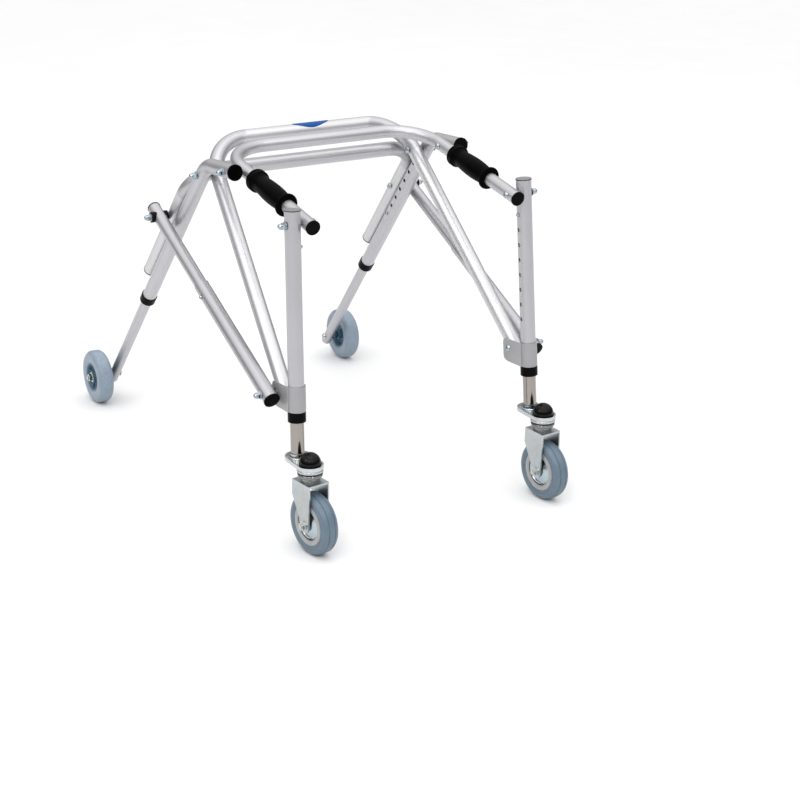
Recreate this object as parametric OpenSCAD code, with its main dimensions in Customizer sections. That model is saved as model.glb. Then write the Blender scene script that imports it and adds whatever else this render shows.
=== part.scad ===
// Posterior (reverse) walking frame: welded and bolted tube frame, open at the
// front, with two swivelling castors in front and two fixed wheels behind.
// +Z up, +Y towards the closed back, X across. Origin on the floor at the
// middle of the outline. Millimetres.

/* [Tubes] */
// Outer diameter of the posts, legs, hoops and outer braces
tube_d = 25.4; // [25.2:0.1:25.5]
// Wall of the outer tubes
tube_wall = 1.2; // [1.1:0.05:1.25]
// Outer diameter of the handle hoop, the stems and the inner braces
slim_d = 22.2; // [22:0.1:22.2]
// Wall of the slim tubes
slim_wall = 1.5; // [1.2:0.1:2]
// Outer diameter of the telescoping rear legs
leg_d = 19.05; // [18.5:0.05:19.1]

/* [Hoops] */
// Centre-line bend radius of the two upper hoops
top_bend = 75; // [60:1:85]
// Centre-line bend radius of the rear hoop
rear_bend = 62; // [50:1:70]
// Bend radius at the top of each rear leg
leg_bend = 55; // [45:1:58]

/* [Height adjustment] */
// Spacing of the height holes
notch = 25.4; // [25:0.1:26]
// Number of height holes in each front post
post_holes = 8; // [6:1:8]
// Number of height holes in each rear leg
leg_holes = 7; // [5:1:7]
// Diameter of the snap buttons
button_d = 6.4; // [5:0.1:6.6]

/* [Castors and wheels] */
// Outer diameter of all four tyres
wheel_d = 102; // [98:1:104]
// Width of a castor tyre
castor_w = 28; // [26:0.5:29]
// Width of a rear tyre
rear_w = 29; // [26:0.5:30]
// Rest angle of the left castor about its kingpin, degrees
castor_yaw_l = 7; // [-8:1:8]
// Rest angle of the right castor about its kingpin, degrees
castor_yaw_r = 4; // [-8:1:8]

/* [Grips] */
// Largest diameter of the grip's palm swell
grip_d = 34; // [31:0.5:35]
// Diameter of the grip's front ring
grip_ring_d = 39; // [36:0.5:40]

/* [Hidden] */
$fn = 48;

silver = [0.76, 0.76, 0.78];
grey = [0.6, 0.6, 0.62];
zinc = [0.72, 0.75, 0.77];
black = [0.05, 0.05, 0.06];
tyre_c = [0.42, 0.49, 0.56];
rim_c = [0.72, 0.71, 0.69];

tr = tube_d / 2;
ti = tr - tube_wall;
sr = slim_d / 2;
si = sr - slim_wall;
lr = leg_d / 2;
li = lr - 2;
wr = wheel_d / 2;

// bolts: shank radius, clearance, head and nut sizes
br = 3;
bc = 0.05;

// hinge and bolt centres in the side view (y, z)
a_p = [-318, 516.5];    // handle bar to post
f_p = [-103.5, 554.6];  // handle bar to rear leg stub
g_p = [-4.4, 528];      // upper hoop to rear leg
c_p = [-301, 243.3];    // upper hoop to post bracket
h_p = [108.5, 434.5];   // brace to rear hoop

// right-hand points of the tubes, mirrored for the left
post_top = [212.7, -315.9, 538.8];
post_low = [222.46, -344.86, 166];
post_u = (post_low - post_top) / norm(post_low - post_top);
function post_at(z) = post_top + post_u * ((z - post_top[2]) / post_u[2]);

hoop1_top = [187.6, 42.2, 575.3 - 2.8];
hoop1_low = [220.4, c_p[0], c_p[1]];
h1_u = (hoop1_low - hoop1_top) / norm(hoop1_low - hoop1_top);
hoop1_end = hoop1_low + 14 * h1_u;

hoop2_end = [188.2, -335.5, 513.5];
hoop2_top = [190.2, -18.5, 569.6];
h2_u = (hoop2_top - hoop2_end) / norm(hoop2_top - hoop2_end);

leg_corner = [217.6, -21.6, 548.4];
leg_low = [235.5, 397.9, 51];
leg_u = (leg_low - leg_corner) / norm(leg_low - leg_corner);
leg_g = leg_corner + leg_u * ((g_p[1] - leg_corner[2]) / leg_u[2]);
function leg_at(s) = leg_g + s * leg_u;
stub_end = [214.8, -119.5, 555.8];

hoop3_off = [0, 19.9, 16.8];
hoop3_top = leg_at(26.3) + hoop3_off;
hoop3_end = leg_at(311) + hoop3_off;
h3_x = leg_at((g_p[1] + hoop3_off[2] - h_p[1]) / 0.7626)[0];

brace_x = 251.6;
brace_c = [brace_x, c_p[0], c_p[1]];
brace_h = [brace_x, h_p[0], h_p[1]];
brace_u = (brace_h - brace_c) / norm(brace_h - brace_c);
function brace_at(s) = brace_c + s * brace_u;
brace_mouth = 266;
brace_button_s = 238;

// castor set
king = [222, -386];
plate_z = 146.5;
axle_y = -396;
fork_w = 39;
rear_wheel_c = [269.4, 399.4];

function unit(v) = v / norm(v);
function tanlen(d1, d2, R) = R * tan(acos(d1 * d2) / 2);

// ---------------------------------------------------------------- helpers
module at_frame(o, z, x) {
  zz = unit(z);
  yy = unit(cross(zz, x));
  xx = cross(yy, zz);
  multmatrix([[xx[0], yy[0], zz[0], o[0]], [xx[1], yy[1], zz[1], o[1]], [xx[2], yy[2], zz[2], o[2]], [0, 0, 0, 1]])
    children();
}

module rod(a, b, r, x = [1, 0.013, 0.007]) {
  at_frame(a, b - a, x) cylinder(r = r, h = norm(b - a));
}

module tube(a, b, ro, ri, x) {
  at_frame(a, b - a, x) linear_extrude(norm(b - a)) difference() {
    circle(ro);
    circle(ri);
  }
}

// a hollow tube through points, bent with one radius at each corner
module pipe(pts, R, ro, ri) {
  n = len(pts);
  N = unit(cross(pts[1] - pts[0], pts[2] - pts[1]));
  d = [for (i = [0:n - 2]) unit(pts[i + 1] - pts[i])];
  t = [for (i = [0:n - 1]) i == 0 || i == n - 1 ? 0 : tanlen(d[i - 1], d[i], R)];
  // the straights run half a millimetre into the bends, which are a hair thinner
  e = 0.5;
  k = 0.03;
  for (i = [0:n - 2])
    tube(pts[i] + (t[i] > 0 ? t[i] - e : 0) * d[i], pts[i + 1] - (t[i + 1] > 0 ? t[i + 1] - e : 0) * d[i], ro, ri, cross(N, d[i]));
  for (i = [1:n - 2]) {
    s = pts[i] - t[i] * d[i - 1];
    r1 = unit(d[i] - (d[i] * d[i - 1]) * d[i - 1]);
    at_frame(s + R * r1, cross(-r1, d[i - 1]), -r1)
      rotate_extrude(angle = acos(d[i] * d[i - 1]), $fn = 96) translate([R, 0]) difference() {
        circle(ro - k, $fn = 48);
        circle(ri + k, $fn = 48);
      }
  }
}

// X-direction hole or shank between x0 and x1 at (y, z)
module xrod(x0, x1, yz, r, fn = 32) {
  translate([min(x0, x1), yz[0], yz[1]]) rotate([0, 90, 0]) cylinder(r = r, h = abs(x1 - x0), $fn = fn);
}

// domed head growing from x towards dir (+1 or -1)
module dome_head(x, dir, yz, r = 6, h = 3.6) {
  R = (r * r + h * h) / (2 * h);
  translate([x, yz[0], yz[1]]) rotate([0, dir * 90, 0]) difference() {
    intersection() {
      translate([0, 0, h - R]) sphere(R, $fn = 40);
      cylinder(r = r + 1, h = h + 1);
    }
    translate([0, 0, h - 1.5]) cylinder(r = 2, h = 3, $fn = 6);
  }
}

// domed hex nut with a washer, growing from x towards dir
module dome_nut(x, dir, yz, washer = 1.2) {
  translate([x, yz[0], yz[1]]) rotate([0, dir * 90, 0]) {
    cylinder(r = 7, h = washer);
    translate([0, 0, washer]) cylinder(r = 5.7, h = 4.8, $fn = 6);
    translate([0, 0, washer + 4.8]) {
      cylinder(r = 4.7, h = 1.6);
      translate([0, 0, 1.6]) intersection() {
        sphere(4.7, $fn = 32);
        cylinder(r = 6, h = 6);
      }
    }
  }
}

module both() {
  children();
  mirror([1, 0, 0]) children();
}

// one side: s = 1 right, s = -1 left
module side(s) {
  if (s > 0) children();
  else mirror([1, 0, 0]) children();
}

// frame with its Z up the post's own axis and its origin on that axis at height z
module on_post(z) {
  at_frame(post_at(z), -post_u, [1, 0, 0]) children();
}

// ---------------------------------------------------------------- upper hoop
module upper_hoop() {
  m = [-1, 1, 1];
  function fl(p) = [-p[0], p[1], p[2]];
  color(silver) difference() {
    pipe([fl(hoop1_end), fl(hoop1_top), hoop1_top, hoop1_end], top_bend, tr, ti);
    both() xrod(170, 240, c_p, br + bc);
    both() xrod(170, 240, g_p, br + bc);
  }
}

module blank_badge() {
  L = 38;
  W = 11;
  R = (L * L + W * W) / (2 * W);
  color([0.08, 0.33, 0.7]) intersection() {
    translate([-40, hoop1_top[1], hoop1_top[2]]) rotate([0, 90, 0]) linear_extrude(100) difference() {
      circle(tr + 0.65);
      circle(tr + 0.05);
    }
    // two wide arcs with blunt ends
    translate([8, hoop1_top[1], hoop1_top[2]]) linear_extrude(30) intersection() {
      translate([0, R - W]) circle(R, $fn = 96);
      translate([0, W - R]) circle(R, $fn = 96);
      circle(34.5, $fn = 96);
    }
  }
}

// bolts of the two lower hinges and the two top hinges
module hinge_bolts() {
  color(zinc) both() {
    xrod(202.6, 266.5, c_p, br);
    dome_head(203.6, -1, c_p);
    dome_nut(264.4, 1, c_p);
    // spacer between the bracket and the brace
    translate([237.3, c_p[0], c_p[1]]) rotate([0, 90, 0]) difference() {
      cylinder(r = 7, h = 1.2);
      translate([0, 0, -1]) cylinder(r = br - 0.01, h = 5);
    }
    xrod(176.6, 232.6, g_p, br);
    dome_head(177.5, -1, g_p);
    dome_nut(231.5, 1, g_p, 1);
  }
}

// ---------------------------------------------------------------- handle hoop
module handle_hoop() {
  function fl(p) = [-p[0], p[1], p[2]];
  color(silver) difference() {
    pipe([fl(hoop2_end), fl(hoop2_top), hoop2_top, hoop2_end], top_bend, sr, si);
    both() xrod(170, 210, a_p, br + bc);
    both() xrod(170, 210, f_p, br + bc);
  }
}

module grip_shape() {
  // profile from the front ring (z = 0) back to the rear flange (z = 113)
  r0 = sr + 0.05;
  rb = grip_d / 2;
  rg = grip_ring_d / 2;
  neck = 14.2;
  difference() {
    union() {
      // palm swell between two necks
      rotate_extrude() polygon(concat(
        [[0, 2], [neck, 2]],
        [for (i = [0:16]) let (u = i / 16) [neck + (rb - neck) * pow(sin(180 * pow(u, 0.9)), 0.9), 13 + u * 79]],
        [[neck, 108], [0, 108]]));
      // front ring and its lip
      rotate_extrude() union() {
        translate([rg - 3.4, 5.6]) circle(3.4);
        translate([0, 2.2]) square([rg - 3.4, 6.8]);
        translate([0, 0]) square([15.2, 3]);
      }
      // rear flange with two lobes
      rotate_extrude() union() {
        translate([14.8, 101]) circle(4);
        translate([14.8, 109]) circle(4);
        translate([0, 97]) square([14.8, 16]);
        translate([0, 101]) square([18, 8]);
      }
      rotate_extrude() polygon([[0, 90], [neck, 90], [16.5, 97.6], [0, 97.6]]);
    }
    translate([0, 0, -1]) cylinder(r = r0, h = 116);
  }
}

module grip(s) {
  p = hoop2_end + h2_u * ((-254.5 - hoop2_end[1]) / h2_u[1]);
  color(black) side(s) at_frame(p, h2_u, [1, 0, 0]) grip_shape();
}
module left_hand_grip() grip(-1);
module right_hand_grip() grip(1);

module handle_end_caps() {
  color(black) both() at_frame(hoop2_end, -h2_u, [1, 0, 0]) {
    cylinder(r = sr + 0.9, h = 2.6);
    translate([0, 0, -12]) cylinder(r = si - 0.05, h = 12);
  }
}

module handle_bolt_heads() {
  color(zinc) both() {
    // front bolts: head and shank stop short of the post
    xrod(176.2, 199.6, a_p, br);
    dome_head(176.9, -1, a_p);
  }
}

// ---------------------------------------------------------------- rear frame
module rear_leg(s) {
  color(silver) side(s) difference() {
    pipe([stub_end, leg_corner, leg_at(367)], leg_bend, tr, ti);
    xrod(190, 240, f_p, br + bc);
    xrod(190, 240, g_p, br + bc);
    for (k = [0:leg_holes - 1]) {
      q = leg_at(195 - notch * k);
      xrod(q[0] - 20, q[0], [q[1], q[2]], button_d / 2 + 0.4);
    }
  }
}
module left_rear_leg() rear_leg(-1);
module right_rear_leg() rear_leg(1);

module rear_leg_caps() {
  u = unit(stub_end - leg_corner);
  color(black) both() at_frame(stub_end, u, [1, 0, 0]) {
    cylinder(r = tr + 0.8, h = 2.6);
    translate([0, 0, -12]) cylinder(r = ti - 0.05, h = 12);
  }
}

module rear_hoop() {
  function fl(p) = [-p[0], p[1], p[2]];
  color(silver) difference() {
    pipe([fl(hoop3_end), fl(hoop3_top), hoop3_top, hoop3_end], rear_bend, tr, ti);
    both() xrod(190, 250, h_p, br + bc);
  }
}

module rear_hoop_caps() {
  color(grey) both() at_frame(hoop3_end, leg_u, [1, 0, 0]) {
    cylinder(r = tr, h = 2);
    translate([0, 0, -12]) cylinder(r = ti - 0.05, h = 12);
  }
}

module rear_leg_collars() {
  color(black) both() at_frame(leg_at(353), leg_u, [1, 0, 0]) difference() {
    cylinder(r = tr + 1.6, h = 17);
    translate([0, 0, -1]) cylinder(r = tr + 0.05, h = 15);
    translate([0, 0, -1]) cylinder(r = lr + 0.3, h = 30);
  }
}

module rear_frame_bolts() {
  color(zinc) both() {
    // top bolt through the handle bar and the stub
    xrod(177.2, 229.8, f_p, br);
    dome_head(178.2, -1, f_p);
    dome_nut(228.2, 1, f_p, 1);
    // inner half of the open brace pivot
    xrod(204, 236.6, h_p, br);
    dome_head(208.4, -1, h_p);
  }
}

// ---------------------------------------------------------------- front posts
module front_post(s) {
  color(silver) side(s) difference() {
    on_post(216) linear_extrude(norm(post_at(216) - post_top)) difference() {
      circle(tr);
      circle(ti);
    }
    xrod(190, 240, a_p, br + bc);
    for (k = [0:post_holes - 1]) {
      q = post_at(481) + notch * k * post_u;
      xrod(q[0] - 20, q[0], [q[1], q[2]], button_d / 2 + 0.4);
    }
  }
}
module left_front_post() front_post(-1);
module right_front_post() front_post(1);

module post_bracket(s) {
  iw = 14.6;
  th = 1.8;
  color(grey) side(s) difference() {
    on_post(221.4) intersection() {
      linear_extrude(41.6) difference() {
        union() {
          circle(tr + 0.05 + th);
          translate([-iw - th, -1]) square([2 * (iw + th), 53]);
        }
        circle(tr + 0.05);
        translate([-iw, 4]) square([2 * iw, 60]);
      }
      translate([-30, 0, 0]) rotate([90, 0, 90]) linear_extrude(60)
        polygon([[-20, 0], [40, 1.5], [48, 3.5], [51, 6.5], [52, 11], [52, 35], [49, 40], [45, 41.6], [-20, 41.6]]);
    }
    xrod(195, 245, c_p, br + bc);
  }
}
module left_post_bracket() post_bracket(-1);
module right_post_bracket() post_bracket(1);

module post_caps() {
  color(grey) both() at_frame(post_top, -post_u, [1, 0, 0]) {
    cylinder(r = tr + 0.4, h = 1.8);
    translate([0, 0, -10]) cylinder(r = ti - 0.05, h = 10);
  }
}

module post_collars() {
  color(black) both() on_post(204.9) difference() {
    cylinder(r = 14.6, h = 16.2);
    translate([0, 0, 10.9]) cylinder(r = tr + 0.05, h = 10);
    translate([0, 0, -1]) cylinder(r = sr + 0.35, h = 30);
  }
}

module post_bolts() {
  // outer half of the open handle pivot
  color(zinc) both() {
    xrod(200.2, 227.4, a_p, br);
    dome_nut(226.6, 1, a_p);
  }
}

// ---------------------------------------------------------------- stems and castors
module stem(s) {
  color([0.8, 0.81, 0.83]) side(s) difference() {
    on_post(150) linear_extrude(355 / -post_u[2] * 1.0) difference() {
      circle(sr);
      circle(si);
    }
    q = post_at(481);
    xrod(q[0] - 20, q[0], [q[1], q[2]], button_d / 2 + 0.1);
  }
}
module left_stem() stem(-1);
module right_stem() stem(1);

module plate_2d(r) {
  e = post_at(plate_z);
  translate([king[0], e[1]]) circle(r);
  translate([king[0], king[1]]) circle(r);
  translate([king[0] - r, king[1]]) square([2 * r, e[1] - king[1]]);
}

module offset_plate(s) {
  color(zinc) side(s) difference() {
    union() {
      translate([0, 0, plate_z - 4]) linear_extrude(4) plate_2d(21.2);
      translate([0, 0, plate_z - 4]) linear_extrude(6.2) difference() {
        plate_2d(21.6);
        plate_2d(19.3);
      }
      // upper race of the swivel bearing
      translate([king[0], king[1], 0]) rotate_extrude() union() {
        translate([18.4, 139.4]) circle(3.1);
        translate([0, 136.3]) square([18.4, 6.8]);
      }
      // socket of the stem
      intersection() {
        on_post(140) cylinder(r = 13.2, h = 13.5);
        translate([150, -420, plate_z - 4]) cube([120, 160, 40]);
      }
    }
    on_post(149.9) cylinder(r = sr + 0.02, h = 30);
    translate([king[0], king[1], 100]) cylinder(r = 5.05, h = 80);
  }
}
module left_offset_plate() offset_plate(-1);
module right_offset_plate() offset_plate(1);

module dome_cap(s) {
  color(black) side(s) translate([king[0], king[1], plate_z]) difference() {
    union() {
      cylinder(r = 17.8, h = 3.5);
      translate([0, 0, 3.5]) intersection() {
        sphere(17.8, $fn = 64);
        cylinder(r = 20, h = 20);
      }
    }
    translate([0, 0, -1]) cylinder(r = 14.5, h = 9);
    intersection() {
      translate([0, 0, 3.5]) sphere(15.2, $fn = 48);
      translate([0, 0, -1]) cylinder(r = 14.5, h = 30);
    }
  }
}
module left_dome_cap() dome_cap(-1);
module right_dome_cap() dome_cap(1);

module kingpin(s) {
  color(zinc) side(s) translate([king[0], king[1], 0]) {
    translate([0, 0, 116]) cylinder(r = 5, h = plate_z + 10 - 116);
    translate([0, 0, 115.3]) cylinder(r = 8.5, h = 3);
    translate([0, 0, plate_z + 0.05]) cylinder(r = 9, h = 7.5, $fn = 6);
  }
}
module left_kingpin() kingpin(-1);
module right_kingpin() kingpin(1);

// plunger with a domed end, growing towards -X
module snap_button(q, reach) {
  translate(q) rotate([0, -90, 0]) {
    cylinder(r = button_d / 2, h = reach);
    translate([0, 0, reach]) intersection() {
      sphere(button_d / 2, $fn = 32);
      cylinder(r = 6, h = 6);
    }
  }
}

module stem_button(s) {
  q = post_at(481);
  color(zinc) side(s) {
    snap_button([q[0] - 8, q[1], q[2]], 5.3);
    // foot of the leaf spring inside the stem
    translate([q[0] - 8.6, q[1], q[2]]) rotate([0, 90, 0]) cylinder(r = 3.9, h = 1.3);
  }
}
module left_stem_button() stem_button(-1);
module right_stem_button() stem_button(1);

module castor(s) {
  yaw = s > 0 ? castor_yaw_r : castor_yaw_l;
  translate([s * king[0], king[1], 0]) rotate([0, 0, yaw]) children();
}
ax = axle_y - king[1];
fork_z = 121.5;

module swivel_bearing(s) {
  // lower race on its stepped base
  color([0.82, 0.83, 0.84]) castor(s) difference() {
    union() {
      translate([0, 0, fork_z + 0.05]) cylinder(r = 15.6, h = 9);
      rotate_extrude() union() {
        translate([16.8, 131.8]) circle(3.6);
        translate([0, 128.2]) square([16.8, 7.2]);
      }
    }
    translate([0, 0, 110]) cylinder(r = 5.05, h = 40);
    translate([0, 0, 133.4]) cylinder(r = 12.5, h = 20);
  }
}
module left_swivel_bearing() swivel_bearing(-1);
module right_swivel_bearing() swivel_bearing(1);

module castor_fork(s) {
  hw = fork_w / 2;
  color(zinc) castor(s) difference() {
    union() {
      // top plate
      translate([-hw, -24, fork_z - 3]) cube([fork_w, 46, 3]);
      // legs
      for (m = [-1, 1]) translate([m > 0 ? hw - 2.6 : -hw, 0, 0]) rotate([90, 0, 90]) linear_extrude(2.6) union() {
        polygon([[-24, fork_z], [-24.5, 100], [ax - 12, wr + 6], [ax - 11.8, wr], [ax + 11.8, wr], [ax + 11, wr + 6], [22.6, 96], [22, fork_z]]);
        translate([ax, wr]) circle(12);
      }
    }
    translate([0, 0, 110]) cylinder(r = 5.05, h = 30);
    translate([-30, ax, wr]) rotate([0, 90, 0]) cylinder(r = 4.02, h = 60);
  }
}
module left_castor_fork() castor_fork(-1);
module right_castor_fork() castor_fork(1);

module castor_axle(s) {
  hw = fork_w / 2;
  color(zinc) castor(s) translate([0, ax, wr]) rotate([0, 90, 0]) {
    translate([0, 0, -hw - 7.6]) cylinder(r = 4, h = fork_w + 15.2);
    // washer and nut at each end
    for (m = [0, 1]) mirror([0, 0, m]) {
      translate([0, 0, hw]) cylinder(r = 8, h = 1.3);
      translate([0, 0, hw + 1.2]) cylinder(r = 6.9, h = 4.9, $fn = 6);
    }
  }
}
module left_castor_axle() castor_axle(-1);
module right_castor_axle() castor_axle(1);

module tyre_2d(w, shoulder, rin) {
  // half section: x = radius, y = across
  union() {
    translate([rin, -w / 2 + shoulder]) square([wr - rin, w - 2 * shoulder]);
    translate([rin, -w / 2]) square([wr - shoulder - rin, w]);
    for (m = [-1, 1]) translate([wr - shoulder, m * (w / 2 - shoulder)]) circle(shoulder);
  }
}

module castor_tyre(s) {
  color(tyre_c) castor(s) translate([0, ax, wr]) rotate([0, 90, 0]) rotate_extrude($fn = 96) difference() {
    tyre_2d(castor_w, 5, 35.1);
    for (m = [-1, 1]) translate([wr - 11.5, m * castor_w / 2]) circle(0.9);
  }
}
module left_castor_tyre() castor_tyre(-1);
module right_castor_tyre() castor_tyre(1);

module castor_hub(s) {
  color(rim_c) castor(s) translate([0, ax, wr]) rotate([0, 90, 0]) difference() {
    rotate_extrude($fn = 96) polygon([
      [4.08, -15.9], [8, -15.9], [10, -13.5], [24.5, -9], [26.5, -13.2], [27.5, -13.8], [34, -13.8], [35.05, -12.8],
      [35.05, 12.8], [34, 13.8], [27.5, 13.8], [26.5, 13.2], [24.5, 9], [10, 13.5], [8, 15.9], [4.08, 15.9]]);
  }
}
module left_castor_hub() castor_hub(-1);
module right_castor_hub() castor_hub(1);

// ---------------------------------------------------------------- rear legs and wheels
module lower_leg(s) {
  q = leg_at(195);
  color(silver) side(s) difference() {
    union() {
      tube(leg_at(173), leg_at(641), lr, li, [1, 0, 0]);
      at_frame(leg_at(636), leg_u, [1, 0, 0]) cylinder(r = li + 0.2, h = 5);
    }
    xrod(q[0] - 20, q[0], [q[1], q[2]], button_d / 2 + 0.1);
    xrod(200, 260, [rear_wheel_c[1] - 1.2, wr], 4.02);
  }
}
module left_lower_leg() lower_leg(-1);
module right_lower_leg() lower_leg(1);

module rear_axle(s) {
  yz = [rear_wheel_c[1] - 1.2, wr];
  x = rear_wheel_c[0];
  color(zinc) side(s) {
    xrod(222, x + 22.4, yz, 4);
    // head on the inner side
    dome_head(225.4, -1, yz, 6.6, 4);
    // spacer between leg and wheel
    translate([245.4, yz[0], yz[1]]) rotate([0, 90, 0]) difference() {
      cylinder(r = 7.5, h = 9);
      translate([0, 0, -1]) cylinder(r = 3.99, h = 14);
    }
    // outer washer and nut
    translate([x + 12, yz[0], yz[1]]) rotate([0, 90, 0]) {
      cylinder(r = 9.4, h = 1.5);
      translate([0, 0, 1.4]) cylinder(r = 7.5, h = 6.4, $fn = 6);
    }
  }
}
module left_rear_axle() rear_axle(-1);
module right_rear_axle() rear_axle(1);

module leg_button(s) {
  q = leg_at(195);
  color(zinc) side(s) {
    snap_button([q[0] - 5.4, q[1], q[2]], 7.9);
    translate([q[0] - 5.9, q[1], q[2]]) rotate([0, 90, 0]) cylinder(r = 3.9, h = 1.3);
  }
}
module left_leg_button() leg_button(-1);
module right_leg_button() leg_button(1);

module rear_tyre(s) {
  color(tyre_c) side(s) translate([rear_wheel_c[0], rear_wheel_c[1] - 1.2, wr]) rotate([0, 90, 0])
    rotate_extrude($fn = 96) tyre_2d(rear_w, 7, 27.1);
}
module left_rear_tyre() rear_tyre(-1);
module right_rear_tyre() rear_tyre(1);

module rear_hub(s) {
  h = rear_w / 2;
  color([0.3, 0.38, 0.42]) side(s) translate([rear_wheel_c[0], rear_wheel_c[1] - 1.2, wr]) rotate([0, 90, 0])
    rotate_extrude($fn = 96) polygon([
      [4.08, -h + 0.4], [9, -h + 0.4], [10, -4], [22, -4], [24, -h + 2], [26, -h + 1], [27.05, -h + 1.5],
      [27.05, h - 1.5], [26, h - 1], [24, h - 2], [21, 3], [12, 3], [10.6, 11.6], [4.08, 11.6]]);
}
module left_rear_hub() rear_hub(-1);
module right_rear_hub() rear_hub(1);

// ---------------------------------------------------------------- braces
module brace_outers() {
  color(silver) both() difference() {
    tube(brace_at(-14), brace_at(brace_mouth), tr, ti, [1, 0, 0]);
    xrod(230, 270, c_p, br + bc);
    q = brace_at(brace_button_s);
    xrod(q[0], q[0] + 20, [q[1], q[2]], button_d / 2 + 0.4);
  }
}

module brace_lower_caps() {
  color(black) both() at_frame(brace_at(-14), -brace_u, [1, 0, 0]) {
    cylinder(r = tr + 0.8, h = 2.6);
    translate([0, 0, -9]) cylinder(r = ti - 0.05, h = 9);
  }
}

module brace_inners() {
  L = norm(brace_h - brace_c);
  q = brace_at(brace_button_s);
  color(silver) both() difference() {
    tube(brace_at(brace_button_s - 40), brace_at(L + 24), sr, si, [1, 0, 0]);
    xrod(230, 275, h_p, br + bc);
    xrod(q[0], q[0] + 20, [q[1], q[2]], button_d / 2 + 0.1);
  }
}

module brace_upper_caps() {
  L = norm(brace_h - brace_c);
  color(grey) both() at_frame(brace_at(L + 24), brace_u, [1, 0, 0]) {
    cylinder(r = sr + 0.3, h = 2);
    translate([0, 0, -9]) cylinder(r = si - 0.05, h = 9);
  }
}

module brace_saddles() {
  L = norm(brace_h - brace_c);
  color(black) both() difference() {
    union() {
      xrod(brace_x + 3.5, brace_x + 16, h_p, 9.2, 40);
      xrod(brace_x - 14.2, brace_x - 3.5, h_p, 9.2, 40);
    }
    tubeclear = 0.05;
    rod(brace_at(L - 60), brace_at(L + 60), sr + tubeclear, [1, 0, 0]);
    xrod(brace_x - 20, brace_x + 30, h_p, br + bc);
  }
}

module brace_bolts() {
  color(zinc) both() {
    xrod(237.2, brace_x + 17.5, h_p, br);
    dome_nut(brace_x + 16.1, 1, h_p, 1);
  }
}

module brace_button(s) {
  q = brace_at(brace_button_s);
  color(zinc) side(s) mirror([1, 0, 0]) translate([-2 * q[0], 0, 0]) {
    snap_button([q[0] - 8, q[1], q[2]], 5.3);
    translate([q[0] - 8.6, q[1], q[2]]) rotate([0, 90, 0]) cylinder(r = 3.9, h = 1.3);
  }
}
module left_brace_button() brace_button(-1);
module right_brace_button() brace_button(1);

upper_hoop();
blank_badge();
hinge_bolts();
handle_hoop();
left_hand_grip();
right_hand_grip();
handle_end_caps();
handle_bolt_heads();
left_rear_leg();
right_rear_leg();
rear_leg_caps();
rear_hoop();
rear_hoop_caps();
rear_leg_collars();
rear_frame_bolts();
left_front_post();
right_front_post();
left_post_bracket();
right_post_bracket();
post_caps();
post_collars();
post_bolts();
left_stem();
left_offset_plate();
left_dome_cap();
left_kingpin();
left_stem_button();
left_swivel_bearing();
left_castor_fork();
left_castor_axle();
left_castor_tyre();
left_castor_hub();
right_stem();
right_offset_plate();
right_dome_cap();
right_kingpin();
right_stem_button();
right_swivel_bearing();
right_castor_fork();
right_castor_axle();
right_castor_tyre();
right_castor_hub();
left_lower_leg();
left_rear_axle();
left_leg_button();
left_rear_tyre();
left_rear_hub();
right_lower_leg();
right_rear_axle();
right_leg_button();
right_rear_tyre();
right_rear_hub();
brace_outers();
brace_lower_caps();
brace_inners();
brace_upper_caps();
brace_saddles();
brace_bolts();
left_brace_button();
right_brace_button();
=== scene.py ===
import math

import bmesh  # noqa: E402
import bpy  # noqa: E402
from mathutils import Matrix, Vector  # noqa: E402


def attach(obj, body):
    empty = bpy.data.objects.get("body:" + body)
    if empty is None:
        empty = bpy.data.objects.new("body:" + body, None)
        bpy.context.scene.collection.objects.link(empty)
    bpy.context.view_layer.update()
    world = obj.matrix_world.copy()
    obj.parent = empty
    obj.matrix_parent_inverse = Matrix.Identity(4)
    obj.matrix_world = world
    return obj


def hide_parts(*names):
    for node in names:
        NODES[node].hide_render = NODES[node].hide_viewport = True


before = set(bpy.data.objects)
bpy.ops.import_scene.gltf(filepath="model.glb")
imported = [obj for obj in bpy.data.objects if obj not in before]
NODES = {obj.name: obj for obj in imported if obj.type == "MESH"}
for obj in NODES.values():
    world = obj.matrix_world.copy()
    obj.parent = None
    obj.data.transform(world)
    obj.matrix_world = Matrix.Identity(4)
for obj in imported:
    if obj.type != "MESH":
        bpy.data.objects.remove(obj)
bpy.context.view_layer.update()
MM = 0.001
SIDES = (("left", -1.0), ("right", 1.0))

# ------------------------------------------------------------------ key places (millimetres, row frame)
POST_TOP = Vector((212.7, -315.9, 538.8))
POST_LOW = Vector((222.46, -344.86, 166.0))
POST_U = (POST_LOW - POST_TOP).normalized()
LEG_CORNER = Vector((217.6, -21.6, 548.4))
LEG_LOW = Vector((235.5, 397.9, 51.0))
LEG_U = (LEG_LOW - LEG_CORNER).normalized()
LEG_G = LEG_CORNER + LEG_U * ((528.0 - LEG_CORNER.z) / LEG_U.z)
BRACE_C = Vector((251.6, -301.0, 243.3))
BRACE_H = Vector((251.6, 108.5, 434.5))
BRACE_U = (BRACE_H - BRACE_C).normalized()
HOOP2_END = Vector((188.2, -335.5, 513.5))
HOOP2_TOP = Vector((190.2, -18.5, 569.6))
H2_U = (HOOP2_TOP - HOOP2_END).normalized()
HOOP3_OFF = Vector((0, 19.9, 16.8))
KING = Vector((222.0, -386.0, 0.0))
YAW = {"left": math.radians(7.0), "right": math.radians(4.0)}
WHEEL_Z = 51.0
REAR_C = Vector((269.4, 398.2, 51.0))
HOOP1_TOP = Vector((0.0, 42.2, 572.5))


def mir(v, s):
    return Vector((v.x * s, v.y, v.z))


def post_at(z):
    return POST_TOP + POST_U * ((z - POST_TOP.z) / POST_U.z)


def leg_at(s):
    return LEG_G + LEG_U * s


def brace_at(s):
    return BRACE_C + BRACE_U * s


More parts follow.
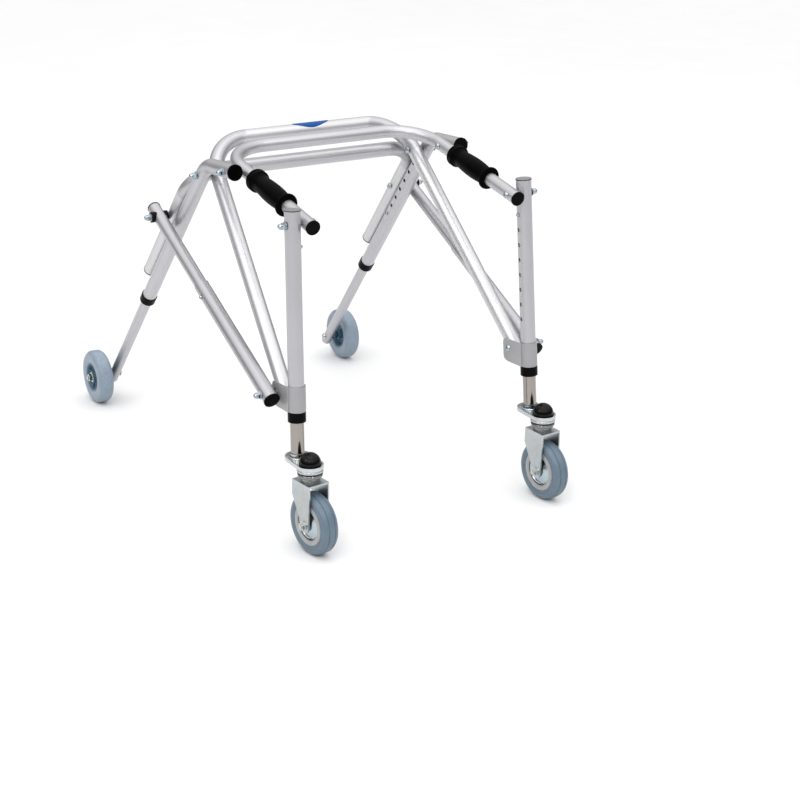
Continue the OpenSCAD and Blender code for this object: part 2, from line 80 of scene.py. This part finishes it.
# ------------------------------------------------------------------ camera
cam_data = bpy.data.cameras.new("camera")
cam = bpy.data.objects.new("camera", cam_data)
bpy.context.scene.collection.objects.link(cam)
cam_data.sensor_width = 36.0
cam_data.lens = 78.506
right = Vector((0.86006046, -0.51005176, 0.01196702))
up = Vector((0.17271803, 0.31315162, 0.93386538))
back = Vector((-0.48006717, -0.80111377, 0.35742446))
rot = Matrix((right, up, back)).transposed().to_4x4()
cam.matrix_world = Matrix.Translation(Vector((-1.39385, -2.61269, 1.21907))) @ rot
cam_data.clip_start = 0.05
cam_data.clip_end = 100.0
bpy.context.scene.camera = cam


# ------------------------------------------------------------------ material helper
class Mat:
    def __init__(self, name, metal=0.0, ior=1.5, coat=0.0, coat_rough=0.1, sheen=0.0, spec=0.5):
        self.m = bpy.data.materials.new(name)
        self.m.use_nodes = True
        self.t = self.m.node_tree
        self.t.nodes.clear()
        out = self.t.nodes.new("ShaderNodeOutputMaterial")
        self.b = self.t.nodes.new("ShaderNodeBsdfPrincipled")
        self.t.links.new(self.b.outputs[0], out.inputs[0])
        self.b.inputs["Metallic"].default_value = metal
        self.b.inputs["IOR"].default_value = ior
        self.b.inputs["Coat Weight"].default_value = coat
        self.b.inputs["Coat Roughness"].default_value = coat_rough
        self.b.inputs["Sheen Weight"].default_value = sheen
        self.b.inputs["Specular IOR Level"].default_value = spec
        self.tc = self.t.nodes.new("ShaderNodeTexCoord")
        self.p = self.tc.outputs["Object"]

    def link(self, a, b):
        self.t.links.new(a, b)

    def turn(self, axis):
        """texture space turned so that its Z runs along axis"""
        q = Vector(axis).normalized().rotation_difference(Vector((0, 0, 1)))
        n = self.t.nodes.new("ShaderNodeMapping")
        n.vector_type = "POINT"
        n.inputs["Rotation"].default_value = q.to_euler("XYZ")
        self.link(self.p, n.inputs["Vector"])
        return n.outputs[0]

    def scale(self, v, s):
        n = self.t.nodes.new("ShaderNodeMapping")
        n.inputs["Scale"].default_value = s
        self.link(v, n.inputs["Vector"])
        return n.outputs[0]

    def noise(self, scale, detail=3.0, rough=0.55, v=None, distortion=0.0):
        n = self.t.nodes.new("ShaderNodeTexNoise")
        n.inputs["Scale"].default_value = scale
        n.inputs["Detail"].default_value = detail
        n.inputs["Roughness"].default_value = rough
        n.inputs["Distortion"].default_value = distortion
        self.link(v if v is not None else self.p, n.inputs["Vector"])
        return n.outputs["Fac"]

    def voronoi(self, scale, v=None):
        n = self.t.nodes.new("ShaderNodeTexVoronoi")
        n.inputs["Scale"].default_value = scale
        self.link(v if v is not None else self.p, n.inputs["Vector"])
        return n.outputs["Distance"]

    def ramp(self, v, lo, hi, a=0.0, b=1.0):
        n = self.t.nodes.new("ShaderNodeMapRange")
        n.inputs["From Min"].default_value = lo
        n.inputs["From Max"].default_value = hi
        n.inputs["To Min"].default_value = a
        n.inputs["To Max"].default_value = b
        n.clamp = True
        self.link(v, n.inputs["Value"])
        return n.outputs["Result"]

    def math(self, op, a, b=None):
        n = self.t.nodes.new("ShaderNodeMath")
        n.operation = op
        for i, x in enumerate((a, b)):
            if x is None:
                continue
            if isinstance(x, (int, float)):
                n.inputs[i].default_value = x
            else:
                self.link(x, n.inputs[i])
        return n.outputs[0]

    def mix(self, f, a, b):
        n = self.t.nodes.new("ShaderNodeMix")
        n.data_type = "RGBA"
        if isinstance(f, (int, float)):
            n.inputs["Factor"].default_value = f
        else:
            self.link(f, n.inputs["Factor"])
        for k, x in ((6, a), (7, b)):
            if isinstance(x, (tuple, list)):
                n.inputs[k].default_value = (*x[:3], 1.0)
            else:
                self.link(x, n.inputs[k])
        return n.outputs[2]

    def edge(self, lo=0.53, hi=0.6):
        n = self.t.nodes.new("ShaderNodeNewGeometry")
        return self.ramp(n.outputs["Pointiness"], lo, hi)

    def top(self):
        """1 where the surface faces up in its own frame"""
        n = self.t.nodes.new("ShaderNodeSeparateXYZ")
        self.link(self.tc.outputs["Normal"], n.inputs[0])
        return self.ramp(n.outputs[2], 0.2, 1.0)

    def color(self, c):
        self.link(c, self.b.inputs["Base Color"])

    def rough(self, r):
        self.link(r, self.b.inputs["Roughness"])

    def bump(self, *layers):
        """layers of (height output, strength, distance in metres)"""
        prev = None
        for h, strength, dist in layers:
            n = self.t.nodes.new("ShaderNodeBump")
            n.inputs["Strength"].default_value = strength
            n.inputs["Distance"].default_value = dist
            self.link(h, n.inputs["Height"])
            if prev is not None:
                self.link(prev, n.inputs["Normal"])
            prev = n.outputs[0]
        self.link(prev, self.b.inputs["Normal"])


def silver(name, axis=None, base=(0.478, 0.476, 0.499), rough=0.40, streak=0.4, metal=0.90):
    """satin silver lacquer on tube: fine flake, faint drawing lines, scuffs"""
    m = Mat(name, metal=metal, coat=0.10, coat_rough=0.25)
    p = m.turn(axis) if axis is not None else m.p
    big = m.noise(9.0, 4, 0.6)
    flake = m.voronoi(2600.0)
    lines = m.noise(420.0, 4, 0.7, m.scale(p, (1, 1, 0.02 if axis is not None else 1)))
    scuff = m.ramp(m.noise(55.0, 6, 0.75, m.scale(p, (1, 1, 0.35)), 0.4), 0.63, 0.72)
    c = m.mix(m.ramp(big, 0.3, 0.7), [x * 0.955 for x in base], [min(1, x * 1.035) for x in base])
    c = m.mix(m.ramp(flake, 0.0, 0.7, 0.22, 0.0), c, [min(1.0, x * 1.28) for x in base])
    c = m.mix(m.math("MULTIPLY", scuff, 0.22), c, (0.42, 0.42, 0.43))
    c = m.mix(m.math("MULTIPLY", m.edge(0.52, 0.62), 0.4), c, (0.80, 0.80, 0.80))
    m.color(c)
    r = m.math("ADD", m.ramp(big, 0.25, 0.75, rough - 0.035, rough + 0.05), m.math("MULTIPLY", scuff, 0.12))
    r = m.math("ADD", r, m.ramp(lines, 0.35, 0.75, -0.03 * streak, 0.06 * streak))
    m.rough(r)
    m.bump((lines, 0.10 * streak, 0.00006), (flake, 0.05, 0.00004), (big, 0.10, 0.0004))
    return m.m


def zinc(name, base=(0.66, 0.69, 0.71), rough=0.27, spangle=1.0, axis=None):
    """bright zinc plate with a faint blue and yellow passivation bloom"""
    m = Mat(name, metal=1.0)
    cells = m.voronoi(170.0)
    cloud = m.noise(48.0, 5, 0.65, distortion=0.6)
    fine = m.noise(900.0, 3, 0.6, m.scale(m.turn(axis), (1, 1, 0.05)) if axis is not None else None)
    c = m.mix(m.ramp(cloud, 0.3, 0.7), [x * y for x, y in zip(base, (0.93, 1.0, 1.06))], [x * y for x, y in zip(base, (1.06, 1.03, 0.95))])
    c = m.mix(m.ramp(cells, 0.0, 0.75, 0.14 * spangle, 0.0), c, (0.86, 0.88, 0.9))
    c = m.mix(m.math("MULTIPLY", m.ramp(m.noise(95.0, 6, 0.7), 0.62, 0.74), 0.35), c, (0.36, 0.36, 0.36))
    c = m.mix(m.math("MULTIPLY", m.edge(), 0.5), c, (0.92, 0.93, 0.94))
    m.color(c)
    m.rough(m.ramp(m.math("ADD", m.math("MULTIPLY", cloud, 0.7), m.math("MULTIPLY", fine, 0.3)), 0.3, 0.7, rough - 0.07, rough + 0.1))
    m.bump((cells, 0.06 * spangle, 0.00025), (fine, 0.12, 0.00005))
    return m.m


def chrome(name, axis=None, base=(0.80, 0.81, 0.83), rough=0.13):
    m = Mat(name, metal=1.0)
    p = m.turn(axis) if axis is not None else m.p
    smear = m.noise(30.0, 5, 0.6, m.scale(p, (1, 1, 0.3)), 0.5)
    hair = m.noise(700.0, 3, 0.7, m.scale(p, (1, 1, 0.015)))
    c = m.mix(m.ramp(smear, 0.3, 0.7), [x * 0.94 for x in base], base)
    c = m.mix(m.math("MULTIPLY", m.ramp(m.noise(160.0, 5, 0.75), 0.64, 0.72), 0.4), c, (0.35, 0.34, 0.33))
    m.color(c)
    m.rough(m.math("ADD", m.ramp(smear, 0.3, 0.75, rough - 0.05, rough + 0.09), m.ramp(hair, 0.5, 0.8, 0.0, 0.08)))
    m.bump((hair, 0.10, 0.00004), (smear, 0.05, 0.0003))
    return m.m


def plastic(name, base, rough=0.25, peel=0.10, worn=(0.10, 0.10, 0.105), wear=0.5, dust=0.10, dust_c=(0.30, 0.29, 0.28), grain=900.0, coat=0.0, spec=0.5):
    m = Mat(name, ior=1.5, coat=coat, coat_rough=0.08, spec=spec)
    cloud = m.noise(38.0, 4, 0.6)
    fine = m.noise(grain, 3, 0.6)
    c = m.mix(m.ramp(cloud, 0.3, 0.7), [x * 0.88 for x in base], [min(1, x * 1.12) for x in base])
    c = m.mix(m.math("MULTIPLY", m.edge(0.52, 0.6), wear), c, worn)
    speck = m.ramp(m.noise(210.0, 6, 0.8), 0.6, 0.74)
    c = m.mix(m.math("MULTIPLY", m.math("MULTIPLY", speck, m.top()), dust), c, dust_c)
    m.color(c)
    scuff = m.ramp(m.noise(70.0, 6, 0.75, distortion=0.6), 0.6, 0.72)
    m.rough(m.math("ADD", m.ramp(cloud, 0.25, 0.75, rough - 0.03, rough + 0.06), m.math("MULTIPLY", scuff, 0.12)))
    m.bump((fine, peel, 0.00006), (cloud, 0.08, 0.0005))
    return m.m


def tyre_mat(name, centre, axis, base=(0.108, 0.156, 0.202), radius=0.051, rough=0.28):
    """blue-grey moulded rubber: dull bloom, scuffed and dusty on the tread"""
    m = Mat(name, ior=1.5)
    mp = m.t.nodes.new("ShaderNodeMapping")
    mp.inputs["Location"].default_value = [-x for x in centre]
    m.link(m.p, mp.inputs["Vector"])
    q = Vector(axis).normalized().rotation_difference(Vector((0, 0, 1)))
    r2 = m.t.nodes.new("ShaderNodeMapping")
    r2.inputs["Rotation"].default_value = q.to_euler("XYZ")
    m.link(mp.outputs[0], r2.inputs["Vector"])
    sep = m.t.nodes.new("ShaderNodeSeparateXYZ")
    m.link(r2.outputs[0], sep.inputs[0])
    rr = m.math("SQRT", m.math("ADD", m.math("MULTIPLY", sep.outputs[0], sep.outputs[0]), m.math("MULTIPLY", sep.outputs[1], sep.outputs[1])))
    tread = m.ramp(rr, radius - 0.0035, radius - 0.0012)
    cloud = m.noise(42.0, 5, 0.65, distortion=0.3)
    fine = m.noise(1300.0, 3, 0.6)
    scr = m.noise(150.0, 6, 0.75, m.scale(r2.outputs[0], (1, 1, 3.5)))
    c = m.mix(m.ramp(cloud, 0.3, 0.7), [x * 0.90 for x in base], [x * 1.10 for x in base])
    c = m.mix(m.math("MULTIPLY", m.ramp(scr, 0.52, 0.7), m.math("ADD", m.math("MULTIPLY", tread, 0.38), 0.10)), c, [x * 1.75 for x in base])
    c = m.mix(m.math("MULTIPLY", m.ramp(m.noise(420.0, 5, 0.8), 0.6, 0.72), 0.16), c, [x * 0.6 for x in base])
    m.color(c)
    m.rough(m.math("ADD", m.ramp(cloud, 0.25, 0.75, rough - 0.03, rough + 0.08), m.math("MULTIPLY", tread, 0.12)))
    m.bump((fine, 0.12, 0.0001), (scr, 0.10, 0.0002))
    return m.m


def grip_mat(name):
    """soft black vinyl: fine pebble on the swell, polished by the hand"""
    m = Mat(name, ior=1.5, spec=0.02)
    pebble = m.voronoi(900.0)
    cloud = m.noise(30.0, 5, 0.6)
    c = m.mix(m.ramp(cloud, 0.3, 0.7), (0.0008, 0.0008, 0.001), (0.0018, 0.0018, 0.0021))
    c = m.mix(m.math("MULTIPLY", m.edge(0.52, 0.6), 0.3), c, (0.008, 0.008, 0.009))
    c = m.mix(m.math("MULTIPLY", m.math("MULTIPLY", m.ramp(m.noise(260.0, 6, 0.8), 0.6, 0.74), m.top()), 0.02), c, (0.06, 0.059, 0.058))
    m.color(c)
    m.rough(m.ramp(cloud, 0.25, 0.75, 0.30, 0.44))
    m.bump((pebble, 0.22, 0.00012), (cloud, 0.06, 0.0004))
    return m.m


# ------------------------------------------------------------------ mesh helpers
def put(name, verts, faces, mat, body, angle=32.0, scale=MM):
    me = bpy.data.meshes.new(name)
    me.from_pydata([tuple(Vector(v) * scale) for v in verts], [], faces)
    me.validate()
    bm = bmesh.new()
    bm.from_mesh(me)
    bmesh.ops.remove_doubles(bm, verts=bm.verts, dist=1e-7)
    bmesh.ops.recalc_face_normals(bm, faces=bm.faces)
    bm.to_mesh(me)
    bm.free()
    me.shade_smooth()
    me.set_sharp_from_angle(angle=math.radians(angle))
    o = bpy.data.objects.new(name, me)
    bpy.context.scene.collection.objects.link(o)
    me.materials.append(mat)
    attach(o, body)
    return o


def basis(axis):
    """3x3 with its Z along axis"""
    z = Vector(axis).normalized()
    x = Vector((1, 0, 0)) if abs(z.x) < 0.9 else Vector((0, 1, 0))
    y = z.cross(x).normalized()
    x = y.cross(z).normalized()
    return Matrix((x, y, z)).transposed()


def lathe(name, prof, centre, axis, mat, body, seg=96, angle=32.0, wob=None):
    """closed profile of (radius, height) turned round axis through centre, in millimetres"""
    b = basis(axis)
    c = Vector(centre)
    verts, faces = [], []
    n = len(prof)
    for k in range(seg):
        a = 2 * math.pi * k / seg
        for r, h in prof:
            if wob is not None:
                r += wob(a, r, h)
            verts.append(c + b @ Vector((r * math.cos(a), r * math.sin(a), h)))
    for k in range(seg):
        k2 = (k + 1) % seg
        for i in range(n):
            j = (i + 1) % n
            faces.append((k * n + i, k * n + j, k2 * n + j, k2 * n + i))
    return put(name, verts, faces, mat, body, angle)


def arc(cx, cy, r, a0, a1, n):
    return [(cx + r * math.cos(math.radians(a0 + (a1 - a0) * i / n)), cy + r * math.sin(math.radians(a0 + (a1 - a0) * i / n))) for i in range(n + 1)]


def dress(node, mat, bevel=0.0, seg=2):
    """a CAD node keeps its mesh and gets a material, a fine edge round and clean shading"""
    o = NODES[node]
    o.data.materials.clear()
    o.data.materials.append(mat)
    for p in o.data.polygons:
        p.material_index = 0
    w = o.modifiers.new("weld", "WELD")
    w.merge_threshold = 0.00002
    if bevel > 0:
        b = o.modifiers.new("round", "BEVEL")
        b.width = bevel * MM
        b.segments = seg
        b.limit_method = "ANGLE"
        b.angle_limit = math.radians(38)
        b.use_clamp_overlap = True
        b.loop_slide = True
        b.profile = 0.6
    n = o.modifiers.new("shade", "WEIGHTED_NORMAL")
    n.mode = "FACE_AREA"
    n.weight = 60
    n.keep_sharp = True
    return o


# ------------------------------------------------------------------ materials
M_SILVER = silver("silver_bent")
M_BRACKET = silver("bracket_grey", base=(0.335, 0.333, 0.343), rough=0.50, streak=0.3, metal=0.60)
M_ZINC = zinc("zinc_plate", base=(0.50, 0.52, 0.54), rough=0.20, spangle=1.2)
M_FORK = zinc("zinc_fork", base=(0.44, 0.462, 0.475), rough=0.33)
M_COVER = zinc("zinc_cover", base=(0.42, 0.48, 0.52), rough=0.16, spangle=0.9)
M_NUT = zinc("zinc_bolt", base=(0.37, 0.415, 0.46), rough=0.13, spangle=0.4)
M_AXLE = zinc("zinc_axle", base=(0.50, 0.51, 0.50), rough=0.16, spangle=0.8)
M_RACE = chrome("race_ring", base=(0.25, 0.255, 0.255), rough=0.08)
M_BLACK = plastic("black_gloss", (0.0015, 0.0015, 0.0018), rough=0.20, spec=0.045, worn=(0.012, 0.012, 0.013), dust=0.012)
M_DOME = plastic("dome_gloss", (0.001, 0.001, 0.0012), rough=0.06, spec=0.18, peel=0.02, worn=(0.012, 0.012, 0.013), dust=0.012)
M_SATIN = plastic("black_satin", (0.002, 0.002, 0.0023), rough=0.27, spec=0.06, worn=(0.02, 0.02, 0.022), dust=0.015)
M_CAP = plastic("cap_grey", (0.225, 0.225, 0.235), rough=0.42, worn=(0.36, 0.36, 0.37), wear=0.3)
M_RIM = plastic("rim_grey", (0.33, 0.335, 0.34), rough=0.34, worn=(0.52, 0.52, 0.51), wear=0.4)
M_HUB = plastic("hub_teal", (0.055, 0.125, 0.185), rough=0.34, worn=(0.14, 0.24, 0.30), wear=0.5)
M_GRIP = grip_mat("grip_vinyl")
# near-black material for the rings laid into gaps and joints under plugs, between the swivel races and round the hub
# covers: painted shade
M_PAINTED_SHADE = plastic("painted_shade_ring", (0.01, 0.01, 0.01), rough=0.6, spec=0.1)

M_POST = {s: silver(f"silver_post_{s}", mir(POST_U, k), base=(0.468, 0.466, 0.489), streak=1.0) for s, k in SIDES}
M_LEG = {s: silver(f"silver_leg_{s}", mir(LEG_U, k), streak=1.0) for s, k in SIDES}
M_STEM = {s: chrome(f"stem_{s}", mir(POST_U, k), base=(0.335, 0.31, 0.29), rough=0.15) for s, k in SIDES}
M_BRACE = silver("silver_brace", BRACE_U, base=(0.440, 0.438, 0.459), streak=0.8)

# ------------------------------------------------------------------ CAD nodes that keep their shape
for n in ("upper_hoop", "handle_hoop", "rear_hoop", "left_rear_leg", "right_rear_leg"):
    dress(n, M_SILVER, 0.25)
for s, k in SIDES:
    dress(f"{s}_front_post", M_POST[s], 0.25)
    dress(f"{s}_lower_leg", M_LEG[s], 0.25)
    dress(f"{s}_stem", M_STEM[s], 0.25)
    dress(f"{s}_post_bracket", M_BRACKET, 0.35)
    dress(f"{s}_hand_grip", M_GRIP, 0.3)
    dress(f"{s}_offset_plate", M_ZINC, 0.5)
    dress(f"{s}_dome_cap", M_DOME, 0.3)
    dress(f"{s}_kingpin", M_NUT, 0.2)
    dress(f"{s}_swivel_bearing", M_RACE, 0.2)
    dress(f"{s}_castor_fork", M_FORK, 0.7)
    dress(f"{s}_castor_axle", M_AXLE, 0.35)
    dress(f"{s}_rear_axle", M_AXLE, 0.3)
    for b in ("stem", "leg", "brace"):
        dress(f"{s}_{b}_button", M_NUT, 0.15)
    dress(f"{s}_castor_hub", M_RIM, 0.3)
    dress(f"{s}_rear_hub", M_HUB, 0.4)
dress("brace_outers", M_BRACE, 0.25)
dress("brace_inners", M_BRACE, 0.25)
for n in ("hinge_bolts", "handle_bolt_heads", "rear_frame_bolts", "post_bolts", "brace_bolts"):
    dress(n, M_NUT, 0.25)
for n in ("handle_end_caps", "rear_leg_caps", "brace_lower_caps"):
    dress(n, M_BLACK, 0.8, 3)
for n in ("rear_leg_collars", "post_collars"):
    dress(n, M_BLACK, 0.8, 3)
dress("brace_saddles", M_SATIN, 0.5)
for n in ("post_caps", "rear_hoop_caps", "brace_upper_caps"):
    dress(n, M_CAP, 0.4)


# ------------------------------------------------------------------ badge: plain oval, lighter border
def badge_mat():
    m = Mat("badge_blue", ior=1.5, coat=0.1, coat_rough=0.10, spec=0.10)
    sep = m.t.nodes.new("ShaderNodeSeparateXYZ")
    m.link(m.p, sep.inputs[0])
    u = m.math("SUBTRACT", sep.outputs[0], 0.008)
    v = m.math("SUBTRACT", sep.outputs[1], HOOP1_TOP.y * MM)
    sag = m.math("MULTIPLY", m.math("MULTIPLY", u, u), 0.5 / ((0.038 ** 2 + 0.011 ** 2) / 0.022))
    side = m.math("SUBTRACT", m.math("SUBTRACT", 0.011, sag), m.math("ABSOLUTE", v))
    end = m.math("SUBTRACT", 0.0345, m.math("SQRT", m.math("ADD", m.math("MULTIPLY", u, u), m.math("MULTIPLY", v, v))))
    d = m.math("MINIMUM", side, end)
    edge = m.math("MULTIPLY", m.ramp(d, 0.0004, 0.0008), m.ramp(d, 0.0014, 0.0018, 1.0, 0.0))
    cloud = m.noise(60.0, 4, 0.6)
    c = m.mix(m.ramp(cloud, 0.3, 0.7), (0.004, 0.062, 0.250), (0.006, 0.078, 0.300))
    c = m.mix(m.math("MULTIPLY", edge, 0.55), c, (0.010, 0.030, 0.090))
    m.color(c)
    m.rough(m.ramp(cloud, 0.25, 0.75, 0.20, 0.32))
    m.bump((m.noise(500.0, 3, 0.6), 0.06, 0.00005), (edge, 0.3, 0.0001))
    return m.m


dress("blank_badge", badge_mat(), 0.12)

# ------------------------------------------------------------------ castor wheels
for s, k in SIDES:
    yaw = YAW[s]
    ax = Vector((math.cos(yaw), math.sin(yaw), 0.0))
    wc = Vector((k * KING.x + 10.0 * math.sin(yaw), KING.y - 10.0 * math.cos(yaw), WHEEL_Z))
    body = f"{s}_castor_wheel"
    tm = tyre_mat(f"tyre_front_{s}", wc * MM, ax)
    half = [(35.1, 12.6), (35.6, 13.4), (37.0, 13.95), (38.6, 14.0), (38.9, 13.5), (39.6, 13.5), (39.9, 14.0), (44.8, 14.0), (46.4, 13.7), (47.2, 13.1),
            (47.5, 12.8), (49.3, 10.6), (50.2, 8.6), (50.5, 6.4), (49.8, 6.1), (49.8, 5.2), (50.7, 4.9), (50.95, 2.2), (51.0, 0.0)]
    prof = half + [(r, -h) for r, h in reversed(half[:-1])]
    t = lathe(f"{s}_castor_tyre_moulded", prof, wc, ax, tm, body, 128, 28)
    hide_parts(f"{s}_castor_tyre")
    # pressed hub covers, one each side, with a rolled rim and a dished middle
    for d in (1, -1):
        cov = [(9.2, 15.3), (10.2, 14.6), (14.0, 13.8), (19.0, 12.2), (21.6, 10.5), (22.4, 10.4), (23.1, 11.3), (23.9, 11.8), (24.6, 11.4), (24.8, 10.2),
               (22.4, 9.2), (9.2, 9.2)]
        c = lathe(f"{s}_hub_cover_{'outer' if d * k > 0 else 'inner'}", cov, wc, ax * d, M_COVER, body, 96, 40)
        # dark ring round each cover's rim, in the gap to the hub: painted shadow
        g = lathe(f"{s}_hub_shadow_{'outer' if d * k > 0 else 'inner'}", [(24.9, 9.3), (24.9, 10.6), (26.2, 12.4), (26.8, 12.6), (26.8, 9.3)], wc, ax * d, M_PAINTED_SHADE, body, 96, 40)

# ------------------------------------------------------------------ rear wheels
for s, k in SIDES:
    wc = mir(REAR_C, k)
    body = f"{s}_rear_wheel"
    tm = tyre_mat(f"tyre_rear_{s}", wc * MM, (1, 0, 0), base=(0.220, 0.280, 0.345), rough=0.30)
    half = [(27.1, 12.4), (27.8, 13.2), (29.5, 13.9), (33.0, 14.4), (38.0, 14.5), (42.0, 14.4), (45.2, 13.7), (47.4, 12.3), (48.3, 11.2), (48.5, 10.6), (49.0, 10.3),
            (50.0, 9.0), (50.6, 7.0), (50.9, 4.0), (51.0, 0.0)]
    prof = half + [(r, -h) for r, h in reversed(half[:-1])]
    t = lathe(f"{s}_rear_tyre_moulded", prof, wc, (1, 0, 0), tm, body, 128, 28)
    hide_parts(f"{s}_rear_tyre")
    # moulded ribs in the hub's recess
    verts, faces = [], []
    for i in range(8):
        a = 2 * math.pi * (i + 0.5) / 8
        ca, sa = math.cos(a), math.sin(a)
        for x0, x1 in ((2.6, 9.6),):
            q = []
            for r, hw, xx in ((11.4, 1.3, x1 - 1.6), (21.6, 1.0, x1), (21.6, 1.0, x0), (11.4, 1.3, x0)):
                for w in (-hw, hw):
                    q.append(Vector((wc.x + k * xx, wc.y + r * ca - w * sa, wc.z + r * sa + w * ca)))
            b0 = len(verts)
            verts += q
            faces += [(b0, b0 + 1, b0 + 3, b0 + 2), (b0 + 2, b0 + 3, b0 + 5, b0 + 4), (b0 + 4, b0 + 5, b0 + 7, b0 + 6), (b0 + 6, b0 + 7, b0 + 1, b0),
                      (b0, b0 + 2, b0 + 4, b0 + 6), (b0 + 1, b0 + 7, b0 + 5, b0 + 3)]
    rb = put(f"{s}_rear_hub_ribs", verts, faces, M_HUB, body, 30)
    bv = rb.modifiers.new("round", "BEVEL")
    bv.width = 0.35 * MM
    bv.segments = 2

# ------------------------------------------------------------------ small pieces
for s, k in SIDES:
    # dark ring under each tube plug: painted shade of the joint
    for nm, base, axis, r, body in (
        ("post_top_painted_shade", POST_TOP, -POST_U, 13.25, "front_posts"),
        ("hoop_end_painted_shade", leg_at(311) + HOOP3_OFF, LEG_U, 12.95, "rear_frame"),
        ("brace_top_painted_shade", brace_at((BRACE_H - BRACE_C).length + 24), BRACE_U, 11.6, "brace_inner_tubes"),
    ):
        rg = lathe(f"{s}_{nm}", [(r - 1.2, -0.7), (r, -0.7), (r + 0.12, 0.0), (r, 0.7), (r - 1.2, 0.7)], mir(base, k), mir(axis, k), M_PAINTED_SHADE, body, 64)
    # dark ring in the gap between the swivel's two races: painted shade of the gap
    swivel_gap_ring = lathe(f"{s}_swivel_gap_shade", [(12.0, 135.5), (20.3, 135.5), (20.8, 135.85), (20.3, 136.2), (12.0, 136.2)], (k * KING.x, KING.y, 0.0), (0, 0, 1), M_PAINTED_SHADE, f"{s}_stem_set", 96, 50)
    # weld bead round the stem's foot
    foot = post_at(146.7)
    bead = lathe(f"{s}_stem_weld", arc(13.5, 0.2, 1.5, -90, 150, 7) + [(12.4, 1.4), (12.4, -1.2)], mir(foot, k), (0, 0, 1), M_ZINC, f"{s}_stem_set", 96, 60,
                 wob=lambda a, r, h: 0.20 * math.sin(26 * a) * (1 if r > 13 else 0))

# ------------------------------------------------------------------ stage
def floor_mat():
    m = Mat("floor_pale", ior=1.45)
    n = m.noise(0.8, 4, 0.5)
    c = m.mix(m.ramp(n, 0.3, 0.7), (0.82, 0.82, 0.822), (0.84, 0.84, 0.842))
    m.color(c)
    m.rough(m.ramp(m.noise(6.0, 3, 0.5), 0.3, 0.7, 0.55, 0.65))
    m.bump((m.noise(300.0, 2, 0.5), 0.02, 0.0001))
    return m.m


bm = bmesh.new()
bmesh.ops.create_grid(bm, x_segments=8, y_segments=8, size=20.0)
me = bpy.data.meshes.new("floor")
bm.to_mesh(me)
bm.free()
floor = bpy.data.objects.new("floor", me)
bpy.context.scene.collection.objects.link(floor)
me.materials.append(floor_mat())


def area(name, loc, target, size, power, color=(1, 1, 1), size_y=None):
    d = bpy.data.lights.new(name, "AREA")
    d.shape = "RECTANGLE"
    d.size = size
    d.size_y = size_y or size
    d.energy = power
    d.color = color
    o = bpy.data.objects.new(name, d)
    bpy.context.scene.collection.objects.link(o)
    o.location = loc
    o.rotation_mode = "QUATERNION"
    o.rotation_quaternion = (Vector(target) - Vector(loc)).to_track_quat("-Z", "Y")
    return o


area("key_left", (-3.6, -0.7, 3.0), (0, 0, 0.3), 1.8, 24, (1.0, 0.99, 0.98))
area("top_soft", (-0.3, -0.9, 3.6), (0, 0, 0.0), 2.6, 20, (1.0, 1.0, 1.0))
area("spark_left", (-2.0, -2.6, 2.5), (0, -0.2, 0.4), 0.36, 16)
area("spark_front", (-0.4, -3.2, 2.6), (0, -0.2, 0.4), 0.26, 8)

world = bpy.data.worlds.new("studio")
bpy.context.scene.world = world
world.use_nodes = True
wt = world.node_tree
wt.nodes.clear()
wo = wt.nodes.new("ShaderNodeOutputWorld")
bg = wt.nodes.new("ShaderNodeBackground")
wt.links.new(bg.outputs[0], wo.inputs[0])
tcw = wt.nodes.new("ShaderNodeTexCoord")
sepw = wt.nodes.new("ShaderNodeSeparateXYZ")
wt.links.new(tcw.outputs["Generated"], sepw.inputs[0])


def wmath(op, x, y=None):
    n = wt.nodes.new("ShaderNodeMath")
    n.operation = op
    for i, v in enumerate((x, y)):
        if isinstance(v, (int, float)):
            n.inputs[i].default_value = v
        elif v is not None:
            wt.links.new(v, n.inputs[i])
    return n.outputs[0]


def wstep(v, lo, hi, a, b):
    n = wt.nodes.new("ShaderNodeMapRange")
    n.interpolation_type = "SMOOTHSTEP"
    for key, x in (("From Min", lo), ("From Max", hi), ("To Min", a), ("To Max", b)):
        n.inputs[key].default_value = x
    wt.links.new(v, n.inputs["Value"])
    return n.outputs["Result"]


# a big overhead box, brighter towards the front, over a dimmer room
rise = wstep(sepw.outputs[2], 0.08, 0.80, 0.20, 1.56)
front = wstep(sepw.outputs[1], -0.75, 0.55, 1.06, 0.86)
# what the camera sees past the floor's edge is as pale as the floor; the light itself keeps its gradient
seen = wt.nodes.new("ShaderNodeLightPath").outputs["Is Camera Ray"]
lit = wmath("MULTIPLY", wmath("MULTIPLY", rise, front), wmath("SUBTRACT", 1.0, seen))
wt.links.new(wmath("ADD", lit, wmath("MULTIPLY", seen, 0.96)), bg.inputs["Strength"])
bg.inputs["Color"].default_value = (1.0, 1.0, 1.0, 1.0)
bpy.context.scene.view_settings.view_transform = "Standard"
bpy.context.scene.view_settings.look = "None"
